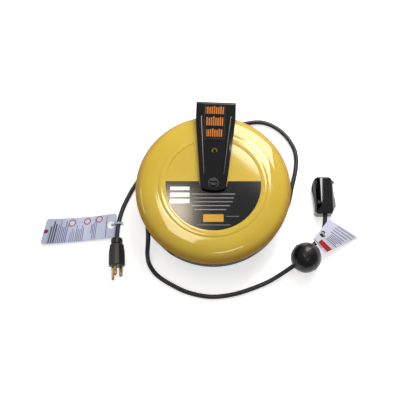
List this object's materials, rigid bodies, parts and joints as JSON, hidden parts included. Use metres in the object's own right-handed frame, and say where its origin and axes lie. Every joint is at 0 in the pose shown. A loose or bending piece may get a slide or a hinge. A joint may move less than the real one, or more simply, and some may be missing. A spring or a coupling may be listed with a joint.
{
  "type": "extension cord reel",
  "caption": "Spring-return extension cord reel in a domed steel housing with a swivel mounting bracket, ball stop, supply plug and grounded connector.",
  "frame": {"origin": "on the axle, at the face that the reel lies on", "axes": "+Z along the axle, from the rear terminal cap to the front cover; +Y from the axle to the mounting plate of the swivel bracket"},
  "size_m": [0.5162, 0.3134, 0.0945],
  "materials": {
    "yellow_paint": "gloss",
    "black_paint": "satin",
    "black_nylon": "matt",
    "black_rubber": "matt",
    "zinc_steel": "satin",
    "steel": "satin",
    "spring_steel": "satin",
    "brass": "satin",
    "phenolic": "matt",
    "white_plastic": "matt",
    "tag_film": "satin",
    "carbon": "matt",
    "label_film": "gloss"
  },
  "bodies": {
    "reel": {"front_cover": "yellow_paint", "rear_cover": "black_paint", "cover_screws": "black_paint", "cord_guide": "black_nylon", "label": "label_film", "centre_shaft": "steel", "flange_rivets": "zinc_steel", "front_nut": "zinc_steel", "thrust_washers": "zinc_steel", "retaining_ring": "spring_steel", "terminal_plate": "black_paint", "terminal_cap": "black_nylon", "cap_screws": "zinc_steel", "terminal_block": "white_plastic", "strain_relief": "black_rubber", "brush_holder": "phenolic", "brushes": "carbon", "brush_springs": "spring_steel", "pawl_pin": "zinc_steel", "supply_cord": "black_rubber", "plug_body": "black_rubber", "plug_blades": "brass", "plug_ground_pin": "brass", "supply_tag": "tag_film", "supply_tag_tie": "white_plastic", "cord_feed": "black_rubber", "output_cord": "black_rubber", "stop_ball_upper": "black_rubber", "stop_ball_lower": "black_rubber", "stop_ball_screws": "zinc_steel", "connector_lower": "black_rubber", "connector_upper": "black_rubber", "connector_face": "black_nylon", "connector_contacts": "brass", "connector_screws": "zinc_steel", "output_tag": "tag_film", "output_tag_tie": "white_plastic"},
    "bracket": {"swivel_bracket": "black_paint", "bracket_bushes": "black_nylon"},
    "drum": {"drum_hub": "steel", "hub_cover": "steel", "drum_rear_flange": "steel", "drum_front_flange": "steel", "drum_rivets": "zinc_steel", "hub_bushes": "brass", "slip_ring_carrier": "phenolic", "slip_rings": "brass", "ratchet_ring": "steel", "power_spring": "spring_steel", "wound_cord_core": "black_rubber", "wound_cord_layer": "black_rubber"},
    "pawl": {"pawl": "steel", "pawl_spring": "spring_steel"}
  },
  "joints": [
    {"name": "bracket_swivel", "type": "hinge", "parent": "reel", "child": "bracket", "pos_m": [0, 0, 0], "axis": [0, 0, 1], "range_deg": [-190, 100]},
    {"name": "drum_spin", "type": "hinge", "parent": "reel", "child": "drum", "pos_m": [0, 0, 0], "axis": [0, 0, 1], "continuous": true},
    {"name": "pawl_lift", "type": "hinge", "parent": "reel", "child": "pawl", "pos_m": [0.053, -0.028, 0], "axis": [0, 0, 1], "range_deg": [-16, 0], "stiffness_Nm_per_rad": 0.01, "springref_deg": 11.46}
  ]
}
